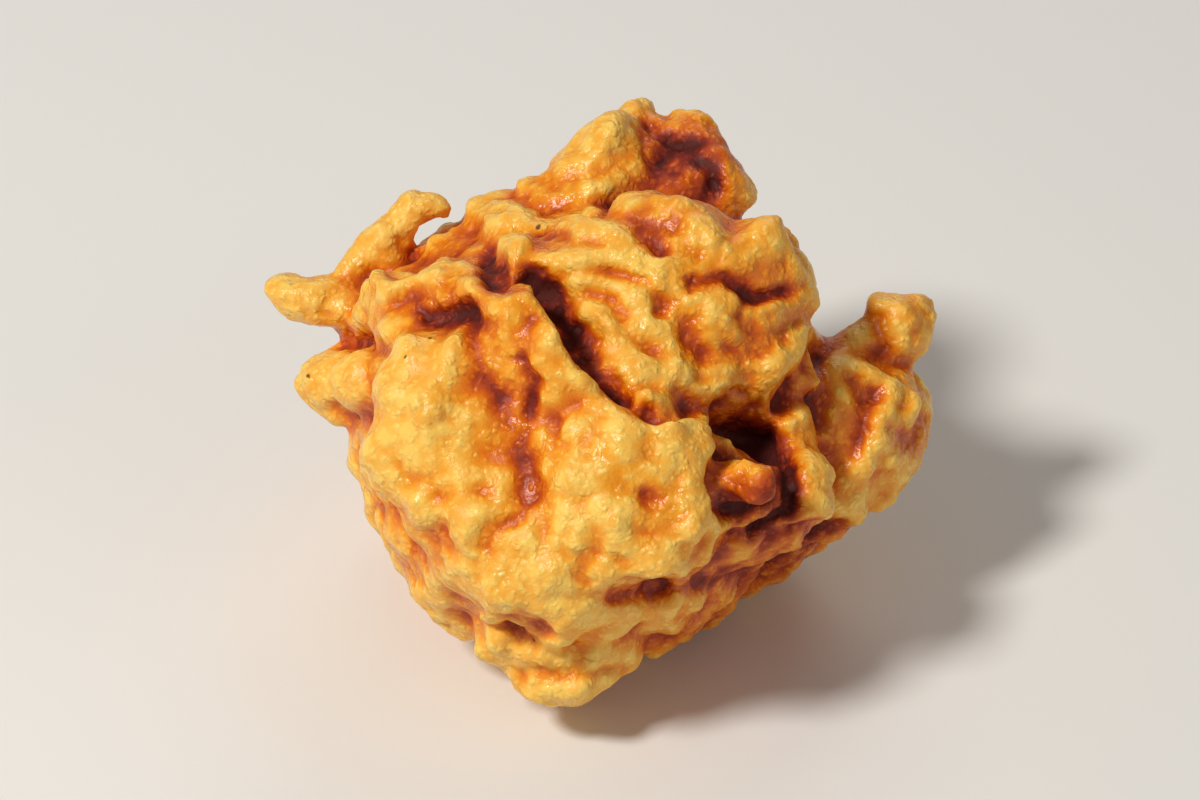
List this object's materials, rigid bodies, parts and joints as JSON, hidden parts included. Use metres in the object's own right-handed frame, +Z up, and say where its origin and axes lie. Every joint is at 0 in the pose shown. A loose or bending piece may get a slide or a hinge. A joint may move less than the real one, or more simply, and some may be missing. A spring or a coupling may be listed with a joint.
{
  "type": "boneless fried chicken piece",
  "caption": "Bite-sized boneless piece of fried chicken: an uneven lump in a craggy batter crust, with folded lobes and small knobs, resting on a flat spot.",
  "frame": {"origin": "centre of the piece's box in X and Y, at the flat spot it rests on", "axes": "+X across the piece along its longest side, +Y away from the viewer of the picture, +Z up"},
  "size_m": [0.0546, 0.049, 0.0374],
  "materials": {
    "crust": "golden fried batter with a thin oily sheen"
  },
  "bodies": {
    "root": {"boneless_chicken": "crust"}
  },
  "joints": []
}
